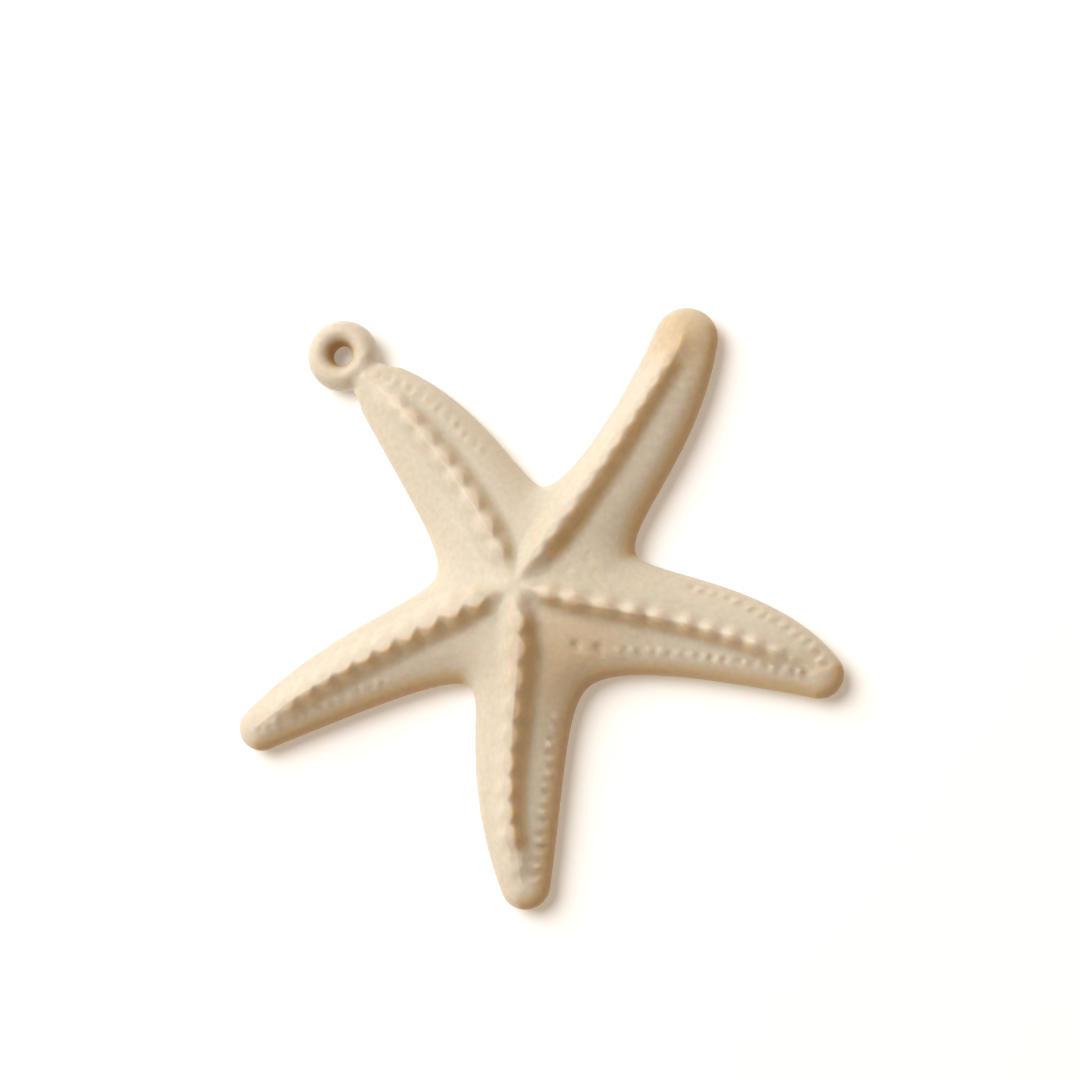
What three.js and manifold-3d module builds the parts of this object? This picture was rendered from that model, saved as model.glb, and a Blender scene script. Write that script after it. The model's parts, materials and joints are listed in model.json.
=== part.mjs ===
// Starfish pendant charm: one cast piece with five arms, a beaded crest along each arm,
// a flat back, and an eyelet on the tip of one arm.
// Units are millimetres. The flat back lies on z = 0, the crests face +Z, and the origin
// is under the middle of the disc, where the five crests meet.
import * as THREE from 'three';
import { mergeVertices } from 'three/addons/utils/BufferGeometryUtils.js';
import Module from 'manifold-3d';

// ---- Driving dimensions ----
const PIECE_NAME = 'starfish_pendant';

const WAIST_HEIGHT = 1.3; // height of the widest outline above the back
const BACK_INSET = 0.8; // how far the flat back stays inside the widest outline
const SHOULDER_RISE = 1.0; // height of the rounded shoulder above the waist, along the arms
const SHOULDER_WIDTH = 1.55; // distance from the outline over which the shoulder rounds over
const WEB_RISE = 0.45; // what the shoulder gains in height between two arms
const WEB_WIDTH = 1.3; // what it gains in width there
const WEB_REACH = 3.5; // how far along the edges that gain fades
const DECK_RISE = 2.6; // further height that the deck would gain far away from the outline
const DECK_WIDTH = 5.0; // distance over which the deck gains most of that height
const TIP_DROP = 0.22; // share of its height over the waist that an arm loses at its tip
const TIP_DROP_REACH = 3.2; // how far from the tip that drop reaches

const CREST_RISE_DISC = 1.5; // crest above the deck near the disc
const CREST_RISE_TIP = 0.95; // crest above the deck where it ends
const CREST_TOP = 0.25; // how bluntly a crest is rounded along its top, as a share of its width
const CREST_DIP_REACH = 2.8; // how far the dip of the crests towards the middle of the disc reaches
const CREST_END_LENGTH = 2.0; // length over which the crest comes down to its end
const FLANK_SLOPE = 0.95; // fall of a crest's flanks
const FLANK_MARGIN = 0.12; // what the foot of a flank stands further out than its slope says
const FOOT_ROUNDING = 0.45; // rounding of the corner between flank and deck
const CREST_MERGE = 0.2; // rounding of the valleys where crests meet
const HUB_RADIUS = 1.5; // low rounded hub in which the crests end at the middle of the disc
const HUB_RISE = 0.62; // its height above the deck

const BEAD_PITCH_DISC = 2.35; // spacing of the crest beads near the disc
const BEAD_PITCH_TIP = 1.6; // spacing of the crest beads near the tip
const BEAD_BULGE = 0.6; // how far a bead pushes the flanks out, as a share of the crest's width
const BEAD_LENGTH = 0.6; // length of a bead as a share of the pitch
const BEAD_RISE = 0.12; // height of a bead above the notches between beads
const BEADS_START = 1.0; // distance from the middle of the disc at which the beads begin
const BEADS_FULL = 3.0; // distance at which they have their full size

const EYELET_CENTRE = [-14.05, 18.05];
const EYELET_OUTER_RADIUS = 2.7;
const EYELET_HOLE_RADIUS = 0.8;
const EYELET_HEIGHT = 2.6;
const EYELET_BACK_INSET = 0.45; // rounding at both edges of the eyelet's flat back

// Inner corners of the outline between neighbouring arms: [direction in degrees, distance].
const WEB_RIGHT = [17, 8.9];
const WEB_TOP = [80, 7.9];
const WEB_LEFT = [168, 6.65];
const WEB_BOTTOM_LEFT = [241, 8.1];
const WEB_BOTTOM_RIGHT = [306, 8.8];
const WEBS = [WEB_RIGHT, WEB_TOP, WEB_LEFT, WEB_BOTTOM_LEFT, WEB_BOTTOM_RIGHT];

// The arms in anticlockwise order. Each ends in a round tip. Its two edges leave the webs
// square to the web's direction and reach the tip at a taper: [web handle, tip handle,
// taper in degrees]. The line of its crest leaves the disc in the direction crestStart and
// reaches the tip centre in the direction crestEnd. The crest has a height relative to the
// dimensions above, loses the share dip of it where the crests meet, stops a gap short of the
// tip centre, and carries beads of some strength.
const ARMS = [
  {
    tip: [22.1, -6.35],
    tipRadius: 1.75,
    heading: -31,
    crestStart: -16,
    crestEnd: -31,
    crestHandles: [4, 8],
    crest: { height: 0.78, dip: 0.5, gap: 2.2, beads: 1.0 },
    rightEdge: { web: WEB_BOTTOM_RIGHT, shape: [2.6, 8.5, 20] },
    leftEdge: { web: WEB_RIGHT, shape: [1.6, 7.6, 21] },
  },
  {
    tip: [12.15, 18.7],
    tipRadius: 2.4,
    heading: 66,
    crestStart: 54,
    crestEnd: 60,
    crestHandles: [7, 7],
    crest: { height: 1.0, dip: 0.68, gap: 0.7, beads: 0.3 },
    rightEdge: { web: WEB_RIGHT, shape: [2.6, 8.6, 15] },
    leftEdge: { web: WEB_TOP, shape: [1.6, 7.5, 0] },
  },
  {
    tip: [-11.95, 16.15],
    tipRadius: 1.65,
    heading: 131,
    crestStart: 113,
    crestEnd: 142,
    crestHandles: [7, 6],
    crest: { height: 0.8, dip: 0.5, gap: 2.3, beads: 1.0 },
    rightEdge: { web: WEB_TOP, shape: [1.6, 8.0, 33] },
    leftEdge: { web: WEB_LEFT, shape: [2.0, 9.5, 12] },
  },
  {
    tip: [-19.75, -10.2],
    tipRadius: 1.7,
    heading: -148,
    crestStart: -163,
    crestEnd: -143,
    crestHandles: [7, 6],
    crest: { height: 1.05, dip: 0.55, gap: 1.3, beads: 1.0 },
    rightEdge: { web: WEB_LEFT, shape: [2.2, 9.5, 13] },
    leftEdge: { web: WEB_BOTTOM_LEFT, shape: [1.6, 9.0, 10] },
  },
  {
    tip: [0.5, -21.7],
    tipRadius: 1.85,
    heading: -84,
    crestStart: -79,
    crestEnd: -71,
    crestHandles: [7, 8],
    crest: { height: 1.0, dip: 0.45, gap: 1.5, beads: 1.0 },
    rightEdge: { web: WEB_BOTTOM_LEFT, shape: [1.6, 9.5, 16] },
    leftEdge: { web: WEB_BOTTOM_RIGHT, shape: [2.2, 9.0, 13] },
  },
];

// ---- Mesh fineness ----
const STEPS_ALONG = 34; // columns from a web to the shoulder of a tip
const STEPS_TIP = 5; // columns round half of a tip
const ROWS_ACROSS = [0, 0.08, 0.17, 0.28, 0.4, 0.6, 0.8, 0.93, 1]; // crest to outline
const STEPS_UNDER = 2; // rows from the outline down to the flat back
const CREST_SAMPLES = 200; // points of each crest that heights are measured from
const EYELET_STEPS = 36;
const WELD_DISTANCE = 1e-4;

const LEFT = 1; // turn of an arm's left edge, seen along the arm
const RIGHT = -1;

function polar(degrees, length) {
  const angle = THREE.MathUtils.degToRad(degrees);
  return new THREE.Vector2(Math.cos(angle), Math.sin(angle)).multiplyScalar(length);
}

// ---- Plan of an arm ----

function crestCurve(arm) {
  const tip = new THREE.Vector2(...arm.tip);
  const [startHandle, endHandle] = arm.crestHandles;
  const leaving = polar(arm.crestStart, startHandle);
  const arriving = tip.clone().sub(polar(arm.crestEnd, endHandle));
  return new THREE.CubicBezierCurve(new THREE.Vector2(0, 0), leaving, arriving, tip);
}

function edgeCurve(arm, edge, turn) {
  const [webDirection, webDistance] = edge.web;
  const [webHandle, tipHandle, taper] = edge.shape;
  const web = polar(webDirection, webDistance);
  const tipSide = polar(arm.heading + turn * (90 - taper), arm.tipRadius);
  const shoulder = new THREE.Vector2(...arm.tip).add(tipSide);
  const leaving = web.clone().add(polar(webDirection - 90 * turn, webHandle));
  const arriving = shoulder.clone().sub(polar(arm.heading - turn * taper, tipHandle));
  return new THREE.CubicBezierCurve(web, leaving, arriving, shoulder);
}

// Columns of half an arm, from the web to the end of the tip. Each runs from a point on
// the crest to a point on the outline, and inward is the way from there into the arm.
function halfArmColumns(arm, edge, turn) {
  const crest = crestCurve(arm);
  const curve = edgeCurve(arm, edge, turn);
  const columns = [];
  for (let i = 0; i <= STEPS_ALONG; i += 1) {
    const share = i / STEPS_ALONG;
    const tangent = curve.getTangentAt(share);
    const inward = new THREE.Vector2(turn * tangent.y, -turn * tangent.x);
    columns.push({ crest: crest.getPointAt(share), outline: curve.getPointAt(share), inward });
  }
  const tip = new THREE.Vector2(...arm.tip);
  const quarterTurn = 90 - edge.shape[2];
  for (let i = 1; i <= STEPS_TIP; i += 1) {
    const outward = polar(arm.heading + turn * quarterTurn * (1 - i / STEPS_TIP), 1);
    const outline = tip.clone().addScaledVector(outward, arm.tipRadius);
    columns.push({ crest: tip, outline, inward: outward.clone().negate() });
  }
  return columns;
}

// ---- Height of the upper face ----

// The greater of two heights, with the corner between them rounded over the given reach.
function softMax(first, second, reach) {
  const overlap = Math.max(reach - Math.abs(first - second), 0) / reach;
  return Math.max(first, second) + (overlap ** 2 * reach) / 4;
}

function bell(distance, reach) {
  return Math.exp(-((distance / reach) ** 2));
}

function nearestOnSegment(point, start, end) {
  const along = end.clone().sub(start);
  const share = point.clone().sub(start).dot(along) / Math.max(along.lengthSq(), WELD_DISTANCE ** 2);
  return start.clone().addScaledVector(along, THREE.MathUtils.clamp(share, 0, 1));
}

function nearestOnOutline(point, outline) {
  let nearest = outline[0];
  outline.forEach((start, i) => {
    const candidate = nearestOnSegment(point, start, outline[(i + 1) % outline.length]);
    if (candidate.distanceTo(point) < nearest.distanceTo(point)) {
      nearest = candidate;
    }
  });
  return nearest;
}

function deckHeight(point, outline) {
  const edge = nearestOnOutline(point, outline);
  const edgeDistance = edge.distanceTo(point);
  const webDistance = Math.min(...WEBS.map((web) => edge.distanceTo(polar(...web))));
  const gain = bell(webDistance, WEB_REACH);
  const fromTop = 1 - Math.min(edgeDistance / (SHOULDER_WIDTH + WEB_WIDTH * gain), 1);
  const shoulder = (SHOULDER_RISE + WEB_RISE * gain) * Math.sqrt(1 - fromTop ** 2);
  const deck = DECK_RISE * (1 - Math.exp(-edgeDistance / DECK_WIDTH));
  return WAIST_HEIGHT + shoulder + deck;
}

// Beads along a crest, 1 on top of a bead and 0 between two of them. Their pitch shrinks
// evenly from the disc to the tip.
function beadShape(travelled, crestLength) {
  const shrink = (BEAD_PITCH_TIP - BEAD_PITCH_DISC) / crestLength;
  const count = Math.log(1 + (shrink * travelled) / BEAD_PITCH_DISC) / shrink;
  const across = 2 * THREE.MathUtils.euclideanModulo(count, 1) - 1;
  return Math.exp(-(Math.abs(across / BEAD_LENGTH) ** 2.2));
}

function crestRise(point, crest) {
  let distance = Infinity;
  let nearest = 0;
  crest.points.forEach((sample, i) => {
    if (sample.distanceTo(point) < distance) {
      distance = sample.distanceTo(point);
      nearest = i;
    }
  });
  const travelled = nearest * crest.spacing;
  const full = THREE.MathUtils.lerp(CREST_RISE_DISC, CREST_RISE_TIP, travelled / crest.length);
  const height = crest.height * full * (1 - crest.dip * bell(travelled, CREST_DIP_REACH));
  const width = height / FLANK_SLOPE + FLANK_MARGIN;
  const ending = THREE.MathUtils.smoothstep(crest.length - travelled, 0, CREST_END_LENGTH);
  const starting = THREE.MathUtils.smoothstep(travelled, BEADS_START, BEADS_FULL);
  const bead = crest.beads * starting * beadShape(travelled, crest.length);
  const plain = distance / width;
  const share = Math.max(plain - BEAD_BULGE * bead * Math.max(1 - plain, 0), 0);
  const fall = (Math.hypot(share, CREST_TOP) - CREST_TOP) / (Math.hypot(1, CREST_TOP) - CREST_TOP);
  const ridge = height * (0.5 + 0.5 * ending) * (1 - fall);
  return softMax(ridge, 0, FOOT_ROUNDING) + BEAD_RISE * bead * bell(distance, 0.5 * width);
}

function crestOf(arm) {
  const curve = crestCurve(arm);
  const spacing = curve.getLength() / CREST_SAMPLES;
  const length = curve.getLength() - arm.crest.gap;
  const points = curve.getSpacedPoints(CREST_SAMPLES).slice(0, Math.floor(length / spacing) + 1);
  return { points, spacing, length, ...arm.crest };
}

function makeHeightField(outline) {
  const crests = ARMS.map(crestOf);
  return (point) => {
    const rises = crests.map((crest) => crestRise(point, crest)).filter((rise) => rise > 0);
    const merged = rises.reduce((sum, rise) => softMax(sum, rise, Math.min(CREST_MERGE, rise)), 0);
    const ridges = THREE.MathUtils.lerp(merged, HUB_RISE, bell(point.length(), HUB_RADIUS));
    const overWaist = deckHeight(point, outline) + ridges - WAIST_HEIGHT;
    const tipDistances = ARMS.map((arm) => point.distanceTo(new THREE.Vector2(...arm.tip)));
    const drop = TIP_DROP * bell(Math.min(...tipDistances), TIP_DROP_REACH);
    return WAIST_HEIGHT + overWaist * (1 - drop);
  };
}

// ---- Solids ----

// Points down one column: from the crest over the deck to the outline, then round the
// lower edge to the flat back.
function columnPoints(column, heightAt) {
  const over = ROWS_ACROSS.map((share) => {
    const point = column.crest.clone().lerp(column.outline, share);
    return new THREE.Vector3(point.x, point.y, share === 1 ? WAIST_HEIGHT : heightAt(point));
  });
  const under = [];
  for (let i = 1; i <= STEPS_UNDER; i += 1) {
    const angle = (i / STEPS_UNDER) * (Math.PI / 2);
    const inset = BACK_INSET * (1 - Math.cos(angle));
    const point = column.outline.clone().addScaledVector(column.inward, inset);
    under.push(new THREE.Vector3(point.x, point.y, WAIST_HEIGHT * (1 - Math.sin(angle))));
  }
  return [...over, ...under];
}

function addFlatBack(triangles, rim) {
  const contour = rim.map((point) => new THREE.Vector2(point.x, point.y));
  for (const [a, b, c] of THREE.ShapeUtils.triangulateShape(contour, [])) {
    triangles.push(rim[a], rim[c], rim[b]);
  }
}

function starGeometry() {
  const halves = ARMS.flatMap((arm) => [
    { turn: RIGHT, columns: halfArmColumns(arm, arm.rightEdge, RIGHT) },
    { turn: LEFT, columns: halfArmColumns(arm, arm.leftEdge, LEFT).reverse() },
  ]);
  const columns = halves.flatMap((half) => half.columns.slice(0, -1));
  const heightAt = makeHeightField(columns.map((column) => column.outline));
  const grid = columns.map((column) => columnPoints(column, heightAt));
  const triangles = [];
  grid.forEach((here, i) => {
    const next = grid[(i + 1) % grid.length];
    for (let row = 0; row + 1 < here.length; row += 1) {
      triangles.push(here[row], here[row + 1], next[row + 1]);
      triangles.push(here[row], next[row + 1], next[row]);
    }
  });
  addFlatBack(triangles, grid.map((points) => points.at(-1)));
  return new THREE.BufferGeometry().setFromPoints(triangles);
}

// The eyelet is a ring with a rounded section and a flat back.
function eyeletGeometry() {
  const middle = (EYELET_OUTER_RADIUS + EYELET_HOLE_RADIUS) / 2;
  const half = (EYELET_OUTER_RADIUS - EYELET_HOLE_RADIUS) / 2;
  const flatHalf = half - EYELET_BACK_INSET;
  const section = new THREE.Path();
  section.absellipse(middle, WAIST_HEIGHT, half, EYELET_HEIGHT - WAIST_HEIGHT, 0, Math.PI);
  section.quadraticCurveTo(middle - half, 0, middle - flatHalf, 0);
  section.lineTo(middle + flatHalf, 0);
  section.quadraticCurveTo(middle + half, 0, middle + half, WAIST_HEIGHT);
  const geometry = new THREE.LatheGeometry(section.getPoints(4), EYELET_STEPS);
  geometry.rotateX(Math.PI / 2);
  geometry.translate(...EYELET_CENTRE, 0);
  return geometry;
}

// A closed mesh with its shared vertices merged and its empty triangles left out.
function toManifold(wasm, source) {
  const bare = new THREE.BufferGeometry();
  bare.setAttribute('position', source.getAttribute('position'));
  bare.setIndex(source.getIndex());
  const merged = mergeVertices(bare, WELD_DISTANCE);
  const index = merged.getIndex().array;
  const kept = [];
  for (let i = 0; i < index.length; i += 3) {
    const [a, b, c] = index.subarray(i, i + 3);
    if (a !== b && b !== c && c !== a) {
      kept.push(a, b, c);
    }
  }
  const vertProperties = Float32Array.from(merged.getAttribute('position').array);
  return new wasm.Manifold(new wasm.Mesh({ numProp: 3, vertProperties, triVerts: Uint32Array.from(kept) }));
}

function toGeometry(solid) {
  const mesh = solid.getMesh();
  const geometry = new THREE.BufferGeometry();
  geometry.setAttribute('position', new THREE.BufferAttribute(mesh.vertProperties, 3));
  geometry.setIndex(new THREE.BufferAttribute(mesh.triVerts, 1));
  geometry.computeVertexNormals();
  return geometry;
}

async function pendantMesh() {
  const wasm = await Module();
  wasm.setup();
  const solid = toManifold(wasm, starGeometry()).add(toManifold(wasm, eyeletGeometry()));
  const material = new THREE.MeshStandardMaterial({ color: 0xeaddc4, roughness: 0.6, metalness: 0 });
  const mesh = new THREE.Mesh(toGeometry(solid), material);
  mesh.name = PIECE_NAME;
  return mesh;
}

const pendant = new THREE.Group();
pendant.name = 'starfish_pendant_charm';
pendant.add(await pendantMesh());

export default pendant;
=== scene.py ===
"""Starfish pendant charm, cast in one piece from warm cream resin.

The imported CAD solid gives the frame: its back lies on z = 0 and the origin is under the middle
of the disc. This script builds the detailed surface that stands for it, in millimetres, from the
same plan of arms, crests and eyelet, and scales it to metres when the mesh is made.
"""
import json
import math

import bmesh
import bpy
import numpy as np
from mathutils import Matrix, Vector, noise
from mathutils.kdtree import KDTree


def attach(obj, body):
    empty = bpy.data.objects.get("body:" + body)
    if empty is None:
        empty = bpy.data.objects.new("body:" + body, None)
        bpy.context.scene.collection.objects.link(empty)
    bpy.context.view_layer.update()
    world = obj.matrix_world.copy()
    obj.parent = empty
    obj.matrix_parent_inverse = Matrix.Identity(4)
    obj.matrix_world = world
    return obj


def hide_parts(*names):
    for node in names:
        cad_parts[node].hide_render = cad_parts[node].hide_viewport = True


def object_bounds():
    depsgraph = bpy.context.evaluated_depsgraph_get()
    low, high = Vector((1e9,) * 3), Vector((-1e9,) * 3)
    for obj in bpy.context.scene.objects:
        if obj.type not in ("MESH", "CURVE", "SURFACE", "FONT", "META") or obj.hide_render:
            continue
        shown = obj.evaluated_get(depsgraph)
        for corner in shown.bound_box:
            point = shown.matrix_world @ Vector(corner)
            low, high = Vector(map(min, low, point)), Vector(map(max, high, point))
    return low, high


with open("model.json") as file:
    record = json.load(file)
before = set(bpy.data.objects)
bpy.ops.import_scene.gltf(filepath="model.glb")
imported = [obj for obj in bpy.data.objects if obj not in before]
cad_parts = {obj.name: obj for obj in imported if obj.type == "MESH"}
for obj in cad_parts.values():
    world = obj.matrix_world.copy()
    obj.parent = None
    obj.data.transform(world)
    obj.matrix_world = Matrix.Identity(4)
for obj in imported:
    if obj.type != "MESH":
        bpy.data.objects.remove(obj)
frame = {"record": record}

CAD_BOX = [list(corner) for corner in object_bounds()]
MM = 0.001
NODE = "starfish_pendant"

# ---- Body, in millimetres ----
WAIST_HEIGHT = 1.3       # height of the widest outline above the back
BACK_INSET = 0.8         # how far the flat back stays inside the widest outline
SHOULDER_RISE = 1.0      # height of the rounded shoulder above the waist, along the arms
SHOULDER_WIDTH = 1.55    # distance from the outline over which the shoulder rounds over
SHOULDER_MOST = 0.7      # the shoulder's greatest share of the way from the outline to the crest
WEB_RISE = 0.45          # what the shoulder gains in height between two arms
WEB_WIDTH = 1.3          # what it gains in width there
WEB_REACH = 3.5          # how far along the edges that gain fades
DECK_RISE = 2.6          # further height that the deck would gain far away from the outline
DECK_WIDTH = 5.0         # distance over which the deck gains most of that height
TIP_DROP = 0.22          # share of its height over the waist that an arm loses at its tip
TIP_DROP_REACH = 3.2     # how far from the tip that drop reaches
SEAM_RISE = 0.025        # the parting line of the mould, proud of the waist

# ---- Crests and their beads ----
CREST_RISE_DISC = 1.5    # crest above the deck near the disc
CREST_RISE_TIP = 0.95    # crest above the deck where it ends
CREST_TOP = 0.25         # how bluntly a crest is rounded along its top, as a share of its width
CREST_DIP_REACH = 2.8    # how far the dip of the crests towards the middle of the disc reaches
HUB_RADIUS = 1.5         # low rounded hub in which the crests end at the middle of the disc
HUB_RISE = 0.62          # its height above the deck
CREST_END_LENGTH = 2.0   # length over which the crest comes down to its end
CREST_END_SHARE = 0.5    # share of its height that it still has right at the end
FLANK_SLOPE = 0.95       # fall of a crest's flanks
FLANK_LEAST = 0.12       # half width of a crest that has no height
FOOT_ROUNDING = 0.45     # rounding of the corner between flank and deck
MERGE = 0.2              # rounding of the valleys where crests meet
BEAD_PITCH_DISC = 2.35   # spacing of the beads at the disc
BEAD_PITCH_TIP = 1.6     # and where the crest ends
BEADS_MOST = 64          # more beads than any crest has
BEAD_WANDER = 0.13       # how far a bead strays from even spacing, as a share of the pitch
BEAD_PHASE = 0.25        # share of the first bead that lies before the crest's start
BEAD_SIZES = (0.8, 1.15) # least and greatest strength of a bead
BEAD_START = 1.0         # how far from the middle of the disc the beads begin
BEAD_START_LENGTH = 2.0  # length over which they reach their full strength
BEAD_BULGE = 0.8         # how far a bead pushes the flank away from the light out, as a share of its width
LIT_FLANK_BULGE = 0.35       # share of that bulge which the flank facing the light has
BEAD_LENGTH = 0.6        # length of a bead as a share of the pitch
BEAD_POWER = 2.2         # how squarely a bead ends
BEAD_RISE = 0.16         # height of a bead above the notches between beads
BEAD_REACH = 0.5         # how far down the flanks that height reaches, as a share of their width

# ---- Granules and pits along the margins ----
SEED = 7                 # one seed for the beads, granules, pits and pores
GRANULE_PITCH = 1.0      # spacing of the granules; a pit lies halfway between two of them
GRANULE_RISE = 0.17
GRANULE_RADIUS = 0.26
PIT_DEPTH = 0.12
PIT_RADIUS = 0.22
DOT_WANDER = 0.09        # how far a granule or pit strays from its row
DOT_STRENGTHS = (0.45, 1.3)     # least and greatest share of its row's strength
DOT_SIZES = (0.85, 1.2)         # and of the radius
DOT_CUT = 3              # a granule or pit ends this many radii from its middle
LARGE_PITS = ((4.5, -4.35), (6.1, -4.55))
LARGE_PIT_DEPTH = 0.26
LARGE_PIT_RADIUS = 0.36
PORES = 46               # tiny pores on the disc between the right and the upper right arm
PORE_DIRECTIONS = (0, 38)
PORE_DISTANCES = (3.2, 8.5)
PORE_DEPTHS = (0.02, 0.06)
PORE_RADII = (0.09, 0.16)
LUMPS = ((1.3, 0.022), (0.42, 0.009))   # surface unevenness: (size, height)
LUMPS_INSET = 0.5        # distance from the outline over which the unevenness sets in

# ---- Painted shade: warm brown where crests, edges, pits, a web and the eyelet's hole fall into shade ----
# A pair (start, length) says where a change sets in and the length that it takes.
LIGHT_FROM = 143      # direction in plan from which the key light falls, in degrees; painted shade and bead bulge are weaker on the side facing it
FLANK_SHADE_IN = (0.1, 0.45)     # painted shade from the crest's line down its flank, as shares of its width
FLANK_SHADE_OUT = (0.75, 0.5)
FLANK_SHADE_FADE = 1.6    # length over which the painted shade of a crest sets in and ends along it
LIT_FLANK_SHADE = 0.12       # share of the painted shade kept on the flank that faces the light
FLANK_TURN = 0.35        # below this cosine to the light's direction a flank gets more of the painted shade
EDGE_SHADE = 0.82         # strength of the painted shade at the outline
EDGE_SHADE_WIDTH = 1.35
LIT_EDGE_SHADE = 0.1         # share of it left where the outline faces the light
EDGE_TURN = (0.15, 0.45) # cosine away from the light over which the edge gains its full painted shade
# painted shade round the tips of the arms, within this distance of a tip
TIP_SHADE_REACH = 3.0
PIT_SHADE = 0.3           # strength of the painted shade in a pit
WEB_SHADE_CENTRE = (308, 7.0) # middle of the painted shade in the web between the right and the lower arm: (direction, distance)
WEB_SHADE_REACH = 4.2
WEB_SHADE = 0.36
SHADE_DEPTH = 0.9         # the painted shade ends this far below the widest outline
SHADE_SAMPLE_STEP = 0.1   # spacing of the outline's samples for the painted shade

# ---- Eyelet ----
EYELET_OUTER_RADIUS = 2.7
EYELET_HOLE_RADIUS = 0.8
EYELET_HEIGHT = 2.6
EYELET_BACK_INSET = 0.45
HOLE_SHADE = 0.85         # strength of the painted shade in the eyelet's hole
HOLE_SHADE_WIDTH = 0.6    # how far it reaches out of the hole
JOINT_REACH = EYELET_OUTER_RADIUS + 1.0   # the joint's sharp line is looked for within this radius
JOINT_ANGLE = 24         # least turn of the surface that counts as that line, in degrees
JOINT_BOTTOM = 0.02      # height above which it is looked for
FILLET_REACH = 0.9       # how far the joint between eyelet and arm is softened
FILLET_PASSES = 40
FILLET_PULL = 0.6        # how far a point moves towards its neighbours in a pass
FILLET_BOTTOM = 0.01     # points lower than this belong to the flat back and stay

# Inner corners of the outline between neighbouring arms: (direction in degrees, distance).
WEB_RIGHT = (17, 8.9)
WEB_TOP = (80, 7.9)
WEB_LEFT = (168, 6.65)
WEB_BOTTOM_LEFT = (241, 8.1)
WEB_BOTTOM_RIGHT = (306, 8.8)

# The arms in anticlockwise order. An arm's tip is a round end of the given radius that points in the
# direction heading. Its crest leaves the disc in the direction start and reaches the tip in the
# direction arrive, with a curve handle at each end, and it stops crest_gap short of the tip. crest
# scales the crest's height, and dip is the share of it lost at the middle of the disc. Each edge is
# (web, web handle, tip handle, taper in degrees). beads is how much the beads bulge the flanks, and
# knobs how much they rise. painted_shade is the strength of the painted shade on the crest's flank
# away from the light, which begins shade_start from the middle of the disc, and tip_shade the strength
# of the painted shade round the arm's tip. Each row of granules and pits, inside the right and the
# left edge, is (strength, inset, start).
ARMS = [
    dict(tip=(22.1, -6.35), radius=1.75, heading=-31, start=-16, arrive=-31, handles=(4, 8),
         right=(WEB_BOTTOM_RIGHT, 2.6, 8.5, 20), left=(WEB_RIGHT, 1.6, 7.6, 21),
         crest=0.78, dip=0.5, crest_gap=2.2, beads=1.1, knobs=1.9, painted_shade=0.52, shade_start=1.4, tip_shade=0.1,
         rows=((0.85, 1.55, 2.6), (0.9, 0.8, 4.5))),
    dict(tip=(12.15, 18.7), radius=2.4, heading=66, start=54, arrive=60, handles=(7, 7),
         right=(WEB_RIGHT, 2.6, 8.6, 15), left=(WEB_TOP, 1.6, 7.5, 0),
         crest=1.0, dip=0.68, crest_gap=0.7, beads=0.35, knobs=0.1, painted_shade=0.66, shade_start=2.4, tip_shade=0.42,
         rows=((0.3, 1.4, 6.0), (0.1, 1.2, 8.0))),
    dict(tip=(-11.95, 16.15), radius=1.65, heading=131, start=113, arrive=142, handles=(7, 6),
         right=(WEB_TOP, 1.6, 8.0, 33), left=(WEB_LEFT, 2.0, 9.5, 12),
         crest=0.8, dip=0.5, crest_gap=2.3, beads=1.05, knobs=0.6, painted_shade=0.28, shade_start=0.9, tip_shade=0.0,
         rows=((0.65, 1.2, 4.0), (0.15, 1.2, 6.0))),
    dict(tip=(-19.75, -10.2), radius=1.7, heading=-148, start=-163, arrive=-143, handles=(7, 6),
         right=(WEB_LEFT, 2.2, 9.5, 13), left=(WEB_BOTTOM_LEFT, 1.6, 9.0, 10),
         crest=1.05, dip=0.55, crest_gap=1.3, beads=1.0, knobs=0.25, painted_shade=0.45, shade_start=1.2, tip_shade=0.0,
         rows=((0.12, 1.1, 6.0), (0.6, 1.2, 5.5))),
    dict(tip=(0.5, -21.7), radius=1.85, heading=-84, start=-79, arrive=-71, handles=(7, 8),
         right=(WEB_BOTTOM_LEFT, 1.6, 9.5, 16), left=(WEB_BOTTOM_RIGHT, 2.2, 9.0, 13),
         crest=1.0, dip=0.45, crest_gap=1.5, beads=1.1, knobs=0.3, painted_shade=0.66, shade_start=1.6, tip_shade=0.0,
         rows=((0.2, 1.0, 8.0), (1.5, 0.9, 3.0))),
]

# ---- Mesh fineness ----
STEPS_ALONG = 180        # columns from a web to the shoulder of a tip
STEPS_TIP = 20           # columns round half of a tip
ROWS_DECK = 27           # rows from a crest to the shoulder
ROWS_SHOULDER = 9        # rows round the shoulder to the outline
ROWS_UNDER = 6           # rows from the outline round to the flat back
ROW_CROWDING = 1.05      # how much closer the rows lie at the crest
EYELET_SECTIONS = 144    # sections round the eyelet
EYELET_TOP_POINTS = 33   # points of a section over its rounded top
EYELET_UNDER_POINTS = 9  # and down each side to the back
SAMPLE_STEP = 0.02       # spacing of the points that distances are measured to
OUTLINE_TOLERANCE = 0.011   # points this near to those samples of the outline lie on it
WELD_DISTANCE = 0.0005   # points closer than this are made one

# ---- Resin; texture scales are per metre ----
RESIN_DARK = (0.69, 0.623, 0.512, 1)
RESIN_LIGHT = (0.75, 0.688, 0.572, 1)
RESIN_SPREAD = (0.3, 0.7)       # how sharply the two tones part: ends of the colour ramp
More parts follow.
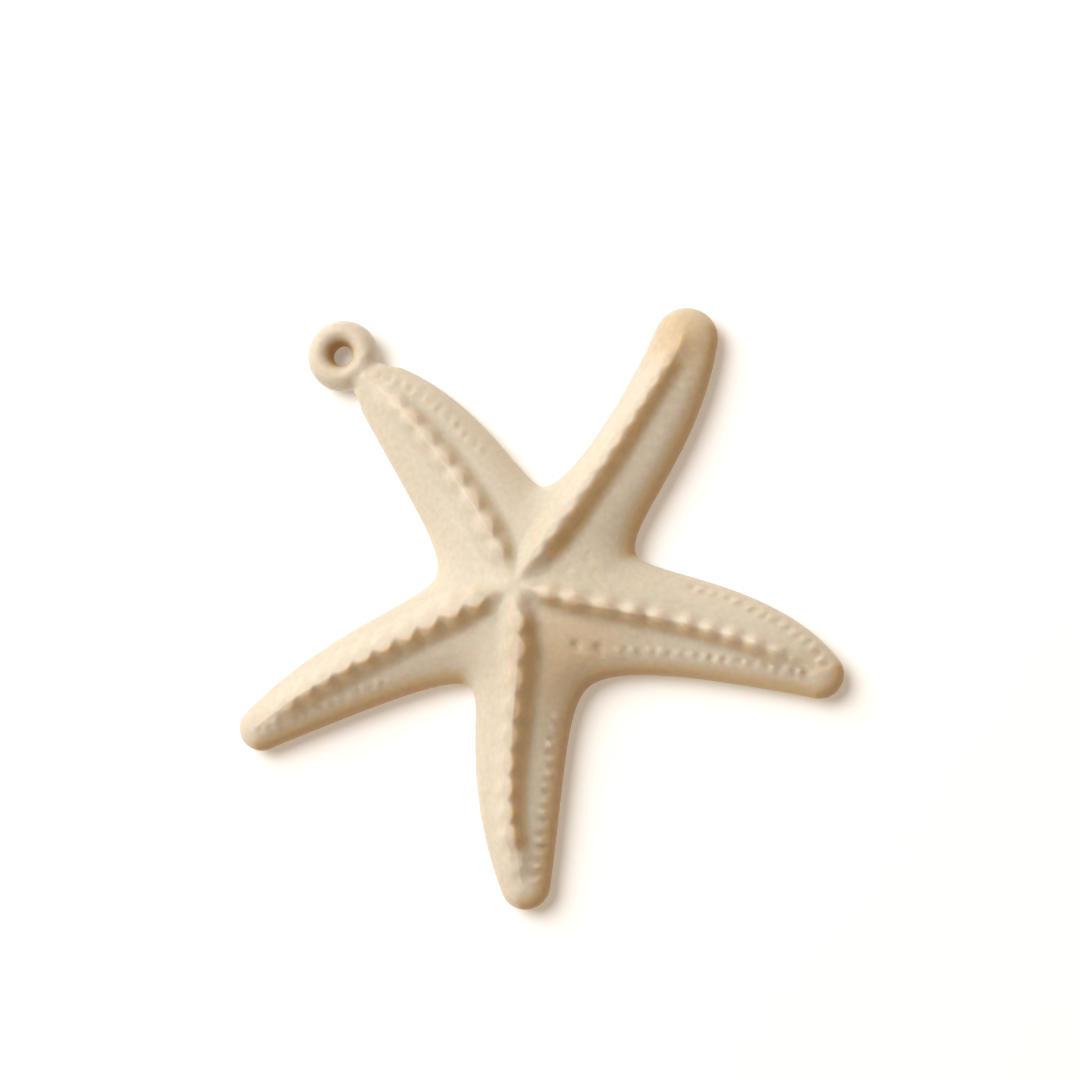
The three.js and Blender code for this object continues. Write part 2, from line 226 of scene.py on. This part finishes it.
# Browns that the painted shade multiplies into the resin's colour where the surface falls into shade.
SHADE_HALF = (0.95, 0.8, 0.57, 1)
SHADE_FULL = (0.66, 0.45, 0.27, 1)
SHADE_HALFWAY = 0.55     # strength of the painted shade that gives the half-tone brown
MOTTLE_SCALE = 2200      # tones about half a millimetre across
MOTTLE_DETAIL = 4
GRAIN_SCALE = 4200       # grain about a quarter of a millimetre across
GRAIN_DETAIL = 3
GRAIN_STRENGTH = 0.25
GRAIN_HEIGHT = 0.05
GLOW_COLOURS = (1.0, 0.62, 0.4) # how far red, green and blue travel inside the resin, as shares
GLOW_DEPTH = 0.7         # of this distance

# ---- Floor, camera and light; lengths in metres ----
FLOOR_GAP = 0.00002      # keeps the flat back and the floor from lying in one plane
FLOOR_REACH = 1.2
CAMERA_TILT = 12.5       # degrees from straight above
CAMERA_SIDE = -37        # direction in plan from the charm to the camera
CAMERA_DISTANCE = 0.2235
CAMERA_LENS = 100        # in millimetres, as is the sensor
CAMERA_SENSOR = 36
CAMERA_NEAR = 0.01
LOOK_OFFSET = (0.0001, 0.0050, -0.00163)
KEY_AZIMUTH = 143
KEY_ELEVATION = 52
KEY_DISTANCE = 0.9
KEY_SIZE = 0.85
KEY_POWER = 9.3
FILL_COLOUR = (1, 0.74, 0.5, 1)
FILL_STRENGTH = 0.305


def polar(degrees, length=1.0):
    angle = math.radians(degrees)
    return np.array([math.cos(angle), math.sin(angle)]) * length


def smoothstep(value):
    value = np.clip(value, 0.0, 1.0)
    return value * value * (3 - 2 * value)


def ramp(value, start, length):
    return smoothstep((value - start) / length)


def along_bezier(corners, shares):
    """Points and unit tangents at equal shares of a cubic Bezier curve's length, and its length."""
    p0, p1, p2, p3 = (np.asarray(corner, float) for corner in corners)
    t = np.linspace(0, 1, 2001)[:, None]
    curve = (1 - t) ** 3 * p0 + 3 * (1 - t) ** 2 * t * p1 + 3 * (1 - t) * t * t * p2 + t ** 3 * p3
    travelled = np.concatenate([[0], np.cumsum(np.linalg.norm(np.diff(curve, axis=0), axis=1))])
    length = travelled[-1]
    t = np.interp(np.asarray(shares) * length, travelled, t[:, 0])[:, None]
    point = (1 - t) ** 3 * p0 + 3 * (1 - t) ** 2 * t * p1 + 3 * (1 - t) * t * t * p2 + t ** 3 * p3
    slope = (1 - t) ** 2 * (p1 - p0) + 2 * (1 - t) * t * (p2 - p1) + t * t * (p3 - p2)
    return point, slope / np.linalg.norm(slope, axis=1)[:, None], length


# ---- Plan ----

def crest_corners(arm):
    tip = np.array(arm["tip"], float)
    start, end = arm["handles"]
    return (0, 0), polar(arm["start"], start), tip - polar(arm["arrive"], end), tip


def edge_corners(arm, side):
    turn = 1 if side == "left" else -1
    web, web_handle, tip_handle, taper = arm[side]
    corner = polar(*web)
    shoulder = np.array(arm["tip"]) + polar(arm["heading"] + turn * (90 - taper), arm["radius"])
    return (corner, corner + polar(web[0] - 90 * turn, web_handle),
            shoulder - polar(arm["heading"] - turn * taper, tip_handle), shoulder)


def half_arm(arm, side):
    """Columns of half an arm, from the web to the end of the tip: crest, outline and inward way."""
    turn = 1 if side == "left" else -1
    shares = np.arange(STEPS_ALONG + 1) / STEPS_ALONG
    crest, _, _ = along_bezier(crest_corners(arm), shares)
    outline, tangent, _ = along_bezier(edge_corners(arm, side), shares)
    inward = np.stack([turn * tangent[:, 1], -turn * tangent[:, 0]], 1)
    swing = turn * (90 - arm[side][3]) * (1 - np.arange(1, STEPS_TIP + 1) / STEPS_TIP)
    outward = np.array([polar(arm["heading"] + angle) for angle in swing])
    tip = np.array(arm["tip"], float)
    crest = np.vstack([crest, np.repeat(tip[None], STEPS_TIP, 0)])
    outline = np.vstack([outline, tip + outward * arm["radius"]])
    inward = np.vstack([inward, -outward])
    return crest, outline, inward


def star_columns():
    parts = []
    for arm in ARMS:
        right = half_arm(arm, "right")
        left = half_arm(arm, "left")
        parts.append([array[:-1] for array in right])
        parts.append([array[::-1][:-1] for array in left])
    return [np.vstack(arrays) for arrays in zip(*parts)]


def densify(loop, step):
    """The same closed line with points no further apart than a step."""
    following = np.roll(loop, -1, axis=0)
    count = np.ceil(np.linalg.norm(following - loop, axis=1) / step).astype(int)
    pieces = [a + (b - a) * (np.arange(n) / n)[:, None] for a, b, n in zip(loop, following, count) if n]
    return np.vstack(pieces)


class Nearest:
    """Distance from plan points to the nearest of a set of samples, and which sample it is."""

    def __init__(self, samples):
        self.tree = KDTree(len(samples))
        for index, (x, y) in enumerate(samples):
            self.tree.insert((x, y, 0), index)
        self.tree.balance()

    def find(self, points):
        found = [self.tree.find((x, y, 0)) for x, y in points]
        return np.array([f[2] for f in found]), np.array([f[1] for f in found])


# ---- Height of the upper face ----

def soft_max(first, second, reach):
    """The greater of two heights, with the corner between them rounded over."""
    overlap = np.maximum(reach - np.abs(first - second), 0) / reach
    return np.maximum(first, second) + overlap ** 2 * reach / 4


def bead_lobes(travelled, length, rng):
    """How far along each bead a station lies: 1 at its middle, 0 in the notches. The pitch shrinks."""
    shrink = (BEAD_PITCH_TIP - BEAD_PITCH_DISC) / length
    wander = np.cumsum(rng.uniform(-BEAD_WANDER, BEAD_WANDER, BEADS_MOST))
    count = np.log(1 + shrink * travelled / BEAD_PITCH_DISC) / shrink
    count = count + BEAD_PHASE + np.interp(count, np.arange(BEADS_MOST), wander - wander[0])
    number = np.floor(count).astype(int)
    across = 2 * (count - number) - 1
    size = rng.uniform(*BEAD_SIZES, BEADS_MOST)[number]
    return size * np.exp(-np.abs(across / BEAD_LENGTH) ** BEAD_POWER)


def crest_place(arm, points):
    """Distance from a crest, distance travelled along it, its length, and the way from it."""
    _, _, full = along_bezier(crest_corners(arm), [0, 1])
    length = full - arm["crest_gap"]
    stations = np.arange(0, length, SAMPLE_STEP)
    line, _, _ = along_bezier(crest_corners(arm), stations / full)
    distance, index = Nearest(line).find(points)
    return distance, stations[index], length, points - line[index]


def crest_size(arm, travelled, length):
    """Height of a crest and half of its width, at each station."""
    top = CREST_RISE_DISC + (CREST_RISE_TIP - CREST_RISE_DISC) * travelled / length
    top = arm["crest"] * top * (1 - arm["dip"] * np.exp(-(travelled / CREST_DIP_REACH) ** 2))
    return top, top / FLANK_SLOPE + FLANK_LEAST


def facing_light(distance, away):
    """Cosine between the way from a crest and the direction from which the light falls."""
    return (away @ polar(LIGHT_FROM)) / np.maximum(distance, 0.01)


def crest_rise(arm, points, rng):
    distance, travelled, length, away = crest_place(arm, points)
    top, width = crest_size(arm, travelled, length)
    away_from_light = smoothstep(0.5 - facing_light(distance, away))
    end = ramp(length - travelled, 0, CREST_END_LENGTH)
    top = top * (CREST_END_SHARE + (1 - CREST_END_SHARE) * end)
    lobes = bead_lobes(travelled, length, rng) * ramp(travelled, BEAD_START, BEAD_START_LENGTH)
    lobes = arm["beads"] * lobes
    share = distance / width
    bulge = BEAD_BULGE * (LIT_FLANK_BULGE + (1 - LIT_FLANK_BULGE) * away_from_light) * lobes
    share = np.maximum(share - bulge * np.maximum(1 - share, 0), 0)
    run = (np.sqrt(share ** 2 + CREST_TOP ** 2) - CREST_TOP) / (math.hypot(1, CREST_TOP) - CREST_TOP)
    knob = arm["knobs"] * BEAD_RISE * lobes * np.exp(-(distance / (BEAD_REACH * width)) ** 2)
    return soft_max(top * (1 - run), 0, FOOT_ROUNDING) + knob


def shoulder_size(outline):
    """Height and width of the shoulder for each point of the outline."""
    webs = np.array([polar(*web) for web in
                     (WEB_RIGHT, WEB_TOP, WEB_LEFT, WEB_BOTTOM_LEFT, WEB_BOTTOM_RIGHT)])
    away = np.linalg.norm(outline[:, None] - webs[None], axis=2).min(1)
    gain = np.exp(-(away / WEB_REACH) ** 2)
    return SHOULDER_RISE + WEB_RISE * gain, SHOULDER_WIDTH + WEB_WIDTH * gain


def deck_height(edge_distance, rise, width):
    from_top = 1 - np.minimum(edge_distance / width, 1)
    deck = DECK_RISE * (1 - np.exp(-edge_distance / DECK_WIDTH))
    return WAIST_HEIGHT + rise * np.sqrt(1 - from_top ** 2) + deck


def margin_dots(rng):
    """Granules and pits in rows inside the edges, and single pits: (x, y, rise, radius)."""
    dots = []
    for arm in ARMS:
        for side, (strength, inset, start) in zip(("right", "left"), arm["rows"]):
            turn = 1 if side == "left" else -1
            _, _, length = along_bezier(edge_corners(arm, side), [0, 1])
            stations = np.arange(start, length, GRANULE_PITCH / 2)
            at, tangent, _ = along_bezier(edge_corners(arm, side), stations / length)
            inward = np.stack([turn * tangent[:, 1], -turn * tangent[:, 0]], 1)
            for number, (point, way) in enumerate(zip(at, inward)):
                x, y = point + way * inset + rng.normal(0, DOT_WANDER, 2)
                scale = strength * rng.uniform(*DOT_STRENGTHS)
                rise, radius = (-PIT_DEPTH, PIT_RADIUS) if number % 2 else (GRANULE_RISE, GRANULE_RADIUS)
                dots.append((x, y, rise * scale, radius * rng.uniform(*DOT_SIZES)))
    dots += [(x, y, -LARGE_PIT_DEPTH, LARGE_PIT_RADIUS) for x, y in LARGE_PITS]
    for _ in range(PORES):
        x, y = polar(rng.uniform(*PORE_DIRECTIONS), rng.uniform(*PORE_DISTANCES))
        dots.append((x, y, -rng.uniform(*PORE_DEPTHS), rng.uniform(*PORE_RADII)))
    return dots


def dot_touch(points, x, y, radius):
    """Which plan points a granule or pit touches, and how strongly: 1 at its middle."""
    near = np.abs(points - (x, y)).max(1) < DOT_CUT * radius
    squared = ((points[near] - (x, y)) ** 2).sum(1)
    return near, np.exp(-squared / radius ** 2)


def unevenness(points):
    total = np.zeros(len(points))
    for size, height in LUMPS:
        total += height * np.array([noise.noise((x / size, y / size, size)) for x, y in points])
    return total


def star_height(points, outline):
    edge = densify(outline, SAMPLE_STEP)
    edge_distance, index = Nearest(edge).find(points)
    rise, width = (values[index] for values in shoulder_size(edge))
    rng = np.random.default_rng(SEED)
    crest = np.zeros(len(points))
    for arm in ARMS:
        ridge = crest_rise(arm, points, rng)
        reach = np.minimum(MERGE, 0.001 + ridge)    # no more than the ridge is high, and never zero
        crest = np.where(ridge > 0, soft_max(crest, ridge, reach), crest)
    hub = np.exp(-(np.linalg.norm(points, axis=1) / HUB_RADIUS) ** 2)
    crest = crest + (HUB_RISE - crest) * hub
    height = deck_height(edge_distance, rise, width) + crest
    for arm in ARMS:
        from_tip = np.linalg.norm(points - arm["tip"], axis=1)
        drop = TIP_DROP * np.exp(-(from_tip / TIP_DROP_REACH) ** 2)
        height = WAIST_HEIGHT + (height - WAIST_HEIGHT) * (1 - drop)
    height += unevenness(points) * ramp(edge_distance, 0, LUMPS_INSET)
    for x, y, dot_rise, radius in margin_dots(rng):
        near, touch = dot_touch(points, x, y, radius)
        height[near] += dot_rise * touch
    return np.where(edge_distance < OUTLINE_TOLERANCE, WAIST_HEIGHT, height)


# Painted shade: brown on the flank of each crest that faces away from the light.
def flank_shade(arm, plan):
    distance, travelled, length, away = crest_place(arm, plan)
    _, width = crest_size(arm, travelled, length)
    share = distance / width
    band = ramp(share, *FLANK_SHADE_IN) * (1 - ramp(share, *FLANK_SHADE_OUT))
    fade = ramp(travelled, arm["shade_start"], FLANK_SHADE_FADE) * ramp(length - travelled, 0, FLANK_SHADE_FADE)
    away_from_light = smoothstep(FLANK_TURN - facing_light(distance, away))
    return arm["painted_shade"] * band * fade * (LIT_FLANK_SHADE + (1 - LIT_FLANK_SHADE) * away_from_light)


# Painted shade: brown along the outline where it faces away from the light.
def edge_shade(plan, from_eyelet):
    outline = densify(star_columns()[1], SHADE_SAMPLE_STEP)
    edge_distance, index = Nearest(outline).find(plan)
    along = np.roll(outline, -1, axis=0) - np.roll(outline, 1, axis=0)
    outward = np.stack([along[:, 1], -along[:, 0]], 1) / np.linalg.norm(along, axis=1)[:, None]
    away_from_light = ramp(-(outward[index] @ polar(LIGHT_FROM)), *EDGE_TURN)
    edge = (1 - ramp(edge_distance, 0, EDGE_SHADE_WIDTH)) * (LIT_EDGE_SHADE + (1 - LIT_EDGE_SHADE) * away_from_light)
    return EDGE_SHADE * edge * smoothstep(from_eyelet - EYELET_OUTER_RADIUS)


def painted_shade_strength(points, eyelet):
    """Where painted shade browns the resin: on crest flanks and edges turned from the light, round tips, in
    pits, in the web between the right and the lower arm, and in the hole.

    The pits' painted shade has random places of its own, which follow the rows but not each pit exactly.
    """
    plan = points[:, :2]
    from_eyelet = np.linalg.norm(plan - eyelet, axis=1)
    strength = np.zeros(len(points))
    for arm in ARMS:
        strength = np.maximum(strength, flank_shade(arm, plan))
        # painted shade round the tips
        from_tip = np.linalg.norm(plan - arm["tip"], axis=1)
        strength = np.maximum(strength, arm["tip_shade"] * np.exp(-(from_tip / TIP_SHADE_REACH) ** 2))
    # painted shade in the pits
    for x, y, rise, radius in margin_dots(np.random.default_rng(SEED)):
        if rise < 0:
            near, touch = dot_touch(plan, x, y, radius)
            strength[near] = np.maximum(strength[near], PIT_SHADE * min(1, -rise / PIT_DEPTH) * touch)
    strength = np.maximum(strength, edge_shade(plan, from_eyelet))
    # painted shade in the web between the right and the lower arm
    from_web_shade = np.linalg.norm(plan - polar(*WEB_SHADE_CENTRE), axis=1)
    strength = np.maximum(strength, WEB_SHADE * np.exp(-(from_web_shade / WEB_SHADE_REACH) ** 2))
    strength[points[:, 2] < WAIST_HEIGHT - SHADE_DEPTH] = 0
    # painted shade in the eyelet's hole
    hole = HOLE_SHADE * (1 - ramp(from_eyelet, EYELET_HOLE_RADIUS, HOLE_SHADE_WIDTH))
    return np.maximum(strength, hole)


# ---- Meshes ----

def make_mesh(name, vertices, faces):
    mesh = bpy.data.meshes.new(name)
    mesh.from_pydata([tuple(v) for v in np.asarray(vertices) * MM], [], faces)
    mesh.validate()
    piece = bpy.data.objects.new(name, mesh)
    bpy.context.scene.collection.objects.link(piece)
    return piece


def weld(piece):
    model = bmesh.new()
    model.from_mesh(piece.data)
    bmesh.ops.remove_doubles(model, verts=model.verts, dist=WELD_DISTANCE * MM)
    bmesh.ops.recalc_face_normals(model, faces=model.faces)
    model.to_mesh(piece.data)
    model.free()


def star_body():
    crest, outline, inward = star_columns()
    length = np.linalg.norm(outline - crest, axis=1)
    angle = np.linspace(0, 0.5 * math.pi, ROWS_SHOULDER + 1)
    _, width = shoulder_size(outline)
    edge = np.minimum(width / length, SHOULDER_MOST)[:, None] * (1 - np.cos(angle))[None, ::-1]
    start = 1 - edge[:, :1]
    deck = start * (np.arange(ROWS_DECK) / ROWS_DECK)[None] ** ROW_CROWDING
    share = np.hstack([deck, 1 - edge])
    plan = crest[:, None] + (outline - crest)[:, None] * share[:, :, None]
    columns, rows = share.shape
    height = star_height(plan.reshape(-1, 2), outline).reshape(columns, rows)
    upper = np.dstack([plan, height])
    turn = np.linspace(0, 0.5 * math.pi, ROWS_UNDER + 1)[1:]
    under_plan = outline[:, None] + inward[:, None] * (BACK_INSET * (1 - np.cos(turn)))[None, :, None]
    under_height = np.broadcast_to(WAIST_HEIGHT * (1 - np.sin(turn)), (columns, ROWS_UNDER))
    grid = np.concatenate([upper, np.dstack([under_plan, under_height])], 1)
    grid[:, rows - 1, :2] -= inward * SEAM_RISE
    total = grid.shape[1]
    faces = []
    for column in range(columns):
        here, there = column * total, ((column + 1) % columns) * total
        for row in range(total - 1):
            faces.append((here + row, here + row + 1, there + row + 1, there + row))
    faces.append(tuple(column * total + total - 1 for column in range(columns))[::-1])
    piece = make_mesh(NODE + "_body", grid.reshape(-1, 3), faces)
    weld(piece)
    return piece


def eyelet_ring(centre):
    middle = (EYELET_OUTER_RADIUS + EYELET_HOLE_RADIUS) / 2
    half = (EYELET_OUTER_RADIUS - EYELET_HOLE_RADIUS) / 2
    turn = np.linspace(0, math.pi, EYELET_TOP_POINTS)
    upper = np.stack([middle + half * np.cos(turn),
                      WAIST_HEIGHT + (EYELET_HEIGHT - WAIST_HEIGHT) * np.sin(turn)], 1)
    turn = np.linspace(0, 0.5 * math.pi, EYELET_UNDER_POINTS)
    across = half - EYELET_BACK_INSET * (1 - np.cos(turn))
    low = WAIST_HEIGHT * (1 - np.sin(turn))
    inner = np.stack([middle - across, low], 1)[1:]
    outer = np.stack([middle + across, low], 1)[1:][::-1]
    section = np.vstack([upper, inner, outer])
    vertices = []
    for step in range(EYELET_SECTIONS):
        way = polar(360 * step / EYELET_SECTIONS)
        for radius, z in section:
            vertices.append((centre[0] + way[0] * radius, centre[1] + way[1] * radius, z))
    count = len(section)
    faces = []
    for step in range(EYELET_SECTIONS):
        here, there = step * count, ((step + 1) % EYELET_SECTIONS) * count
        for i in range(count):
            j = (i + 1) % count
            faces.append((here + i, there + i, there + j, here + j))
    piece = make_mesh(NODE + "_eyelet", vertices, faces)
    weld(piece)
    return piece


def unite(body, other):
    modifier = body.modifiers.new("Unite", "BOOLEAN")
    modifier.operation = "UNION"
    modifier.solver = "MANIFOLD"
    modifier.object = other
    bpy.context.view_layer.objects.active = body
    bpy.ops.object.modifier_apply(modifier=modifier.name)
    bpy.data.objects.remove(other, do_unlink=True)


def soften_joint(piece, centre):
    """Turns the sharp line where the eyelet meets the arm into a small fillet."""
    model = bmesh.new()
    model.from_mesh(piece.data)
    middle = Vector(centre) * MM
    reach = JOINT_REACH * MM
    sharp = [edge for edge in model.edges
             if (edge.verts[0].co.xy - middle).length < reach
             and edge.calc_face_angle(0) > math.radians(JOINT_ANGLE)
             and edge.verts[0].co.z > JOINT_BOTTOM * MM]
    tree = KDTree(2 * len(sharp))
    for edge in sharp:
        for vertex in edge.verts:
            tree.insert(vertex.co, vertex.index)
    tree.balance()
    weights = {}
    for vertex in model.verts:
        if (vertex.co.xy - middle).length < 2 * reach:
            distance = tree.find(vertex.co)[2] / (FILLET_REACH * MM)
            if distance < 1 and vertex.co.z > FILLET_BOTTOM * MM:
                weights[vertex] = float(smoothstep(1 - distance))
    for _ in range(FILLET_PASSES):
        moved = {}
        for vertex, weight in weights.items():
            neighbours = [edge.other_vert(vertex).co for edge in vertex.link_edges]
            mean = sum(neighbours, Vector()) / len(neighbours)
            moved[vertex] = vertex.co.lerp(mean, FILLET_PULL * weight)
        for vertex, place in moved.items():
            vertex.co = place
    model.to_mesh(piece.data)
    model.free()


# ---- Material ----

def set_inputs(node, values):
    for name, value in values.items():
        node.inputs[name].default_value = value


def noise_texture(tree, place, scale, detail):
    texture = tree.nodes.new("ShaderNodeTexNoise")
    set_inputs(texture, {"Scale": scale, "Detail": detail})
    tree.links.new(place.outputs["Object"], texture.inputs["Vector"])
    return texture.outputs["Fac"]


def colour_ramp(tree, factor, stops):
    node = tree.nodes.new("ShaderNodeValToRGB")
    elements = node.color_ramp.elements
    elements[0].position, elements[0].color = stops[0]
    elements[1].position, elements[1].color = stops[-1]
    for position, colour in stops[1:-1]:
        elements.new(position).color = colour
    tree.links.new(factor, node.inputs["Fac"])
    return node.outputs["Color"]


def cream_resin():
    material = bpy.data.materials.new("cream_resin")
    material.use_nodes = True
    tree = material.node_tree
    nodes, links = tree.nodes, tree.links
    shader = nodes["Principled BSDF"]
    set_inputs(shader, {
        "Roughness": 0.5, "IOR": 1.45, "Specular IOR Level": 0.35, "Subsurface Weight": 1.0,
        "Subsurface Radius": GLOW_COLOURS, "Subsurface Scale": GLOW_DEPTH * MM})
    place = nodes.new("ShaderNodeTexCoord")
    mottle = noise_texture(tree, place, MOTTLE_SCALE, MOTTLE_DETAIL)
    tint = colour_ramp(tree, mottle, [(RESIN_SPREAD[0], RESIN_DARK), (RESIN_SPREAD[1], RESIN_LIGHT)])
    # Painted shade: the per-point wash attribute darkens the resin towards brown on flanks, edges, pits and
    # the hole turned from the light.
    painted_shade = nodes.new("ShaderNodeAttribute")
    painted_shade.attribute_name = "painted_shade"
    shade_colour = colour_ramp(tree, painted_shade.outputs["Fac"], [
        (0, (1, 1, 1, 1)), (SHADE_HALFWAY, SHADE_HALF), (1, SHADE_FULL)])
    shaded_colour = nodes.new("ShaderNodeMix")
    shaded_colour.data_type = "RGBA"
    shaded_colour.blend_type = "MULTIPLY"
    shaded_colour.inputs["Factor"].default_value = 1.0
    links.new(tint, shaded_colour.inputs["A"])
    links.new(shade_colour, shaded_colour.inputs["B"])
    links.new(shaded_colour.outputs["Result"], shader.inputs["Base Color"])
    bump = nodes.new("ShaderNodeBump")
    set_inputs(bump, {"Strength": GRAIN_STRENGTH, "Distance": GRAIN_HEIGHT * MM})
    links.new(noise_texture(tree, place, GRAIN_SCALE, GRAIN_DETAIL), bump.inputs["Height"])
    links.new(bump.outputs["Normal"], shader.inputs["Normal"])
    return material


def build_pendant():
    mount = next(m for m in frame["record"]["mounts"] if m["name"] == "eyelet")
    centre = (mount["pos_m"][0] / MM, mount["pos_m"][1] / MM)
    piece = star_body()
    unite(piece, eyelet_ring(centre))
    soften_joint(piece, centre)
    piece.name = "starfish_body"
    piece.data.name = "starfish_body"
    piece.data.materials.clear()
    piece.data.materials.append(cream_resin())
    piece.data.polygons.foreach_set("use_smooth", [True] * len(piece.data.polygons))
    points = np.array([vertex.co for vertex in piece.data.vertices]) / MM
    # Painted shade, stored per point: how strongly each point is browned as if it lay in shade.
    painted_shade = piece.data.attributes.new("painted_shade", "FLOAT", "POINT")
    painted_shade.data.foreach_set("value", painted_shade_strength(points, np.array(centre)).astype(np.float32))
    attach(piece, "root")
    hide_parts(NODE)


# ---- Stage ----

def floor():
    mesh = bpy.data.meshes.new("floor")
    corners = [(-1, -1), (1, -1), (1, 1), (-1, 1)]
    places = [(x * FLOOR_REACH, y * FLOOR_REACH, -FLOOR_GAP) for x, y in corners]
    mesh.from_pydata(places, [], [(0, 1, 2, 3)])
    plane = bpy.data.objects.new("floor", mesh)
    bpy.context.scene.collection.objects.link(plane)
    material = bpy.data.materials.new("floor_white")
    material.use_nodes = True
    set_inputs(material.node_tree.nodes["Principled BSDF"], {
        "Base Color": (0.96, 0.97, 0.98, 1), "Roughness": 0.9, "Specular IOR Level": 0.1,
        "Emission Color": (1.0, 0.96, 0.9, 1), "Emission Strength": 0.17})
    mesh.materials.append(material)


def lights(target):
    data = bpy.data.lights.new("key", "AREA")
    data.shape = "DISK"
    data.size = KEY_SIZE
    data.energy = KEY_POWER
    light = bpy.data.objects.new("key", data)
    bpy.context.scene.collection.objects.link(light)
    elevation = math.radians(KEY_ELEVATION)
    way = Vector((*polar(KEY_AZIMUTH, math.cos(elevation)), math.sin(elevation)))
    light.location = target + way * KEY_DISTANCE
    light.rotation_euler = way.to_track_quat("Z", "Y").to_euler()
    world = bpy.data.worlds.new("studio")
    world.use_nodes = True
    set_inputs(world.node_tree.nodes["Background"], {"Color": FILL_COLOUR, "Strength": FILL_STRENGTH})
    bpy.context.scene.world = world


def camera(target):
    data = bpy.data.cameras.new("camera")
    data.lens = CAMERA_LENS
    data.sensor_width = CAMERA_SENSOR
    data.clip_start = CAMERA_NEAR
    eye = bpy.data.objects.new("camera", data)
    bpy.context.scene.collection.objects.link(eye)
    tilt = Matrix.Rotation(math.radians(CAMERA_TILT), 4, Vector((*(-polar(CAMERA_SIDE - 90)), 0)))
    eye.matrix_world = Matrix.Translation(target) @ tilt @ Matrix.Translation((0, 0, CAMERA_DISTANCE))
    bpy.context.scene.camera = eye


low, high = (Vector(corner) for corner in CAD_BOX)
middle = (low + high) / 2
bpy.context.scene.view_settings.view_transform = "Standard"
build_pendant()
floor()
lights(middle)
camera(middle + Vector(LOOK_OFFSET))
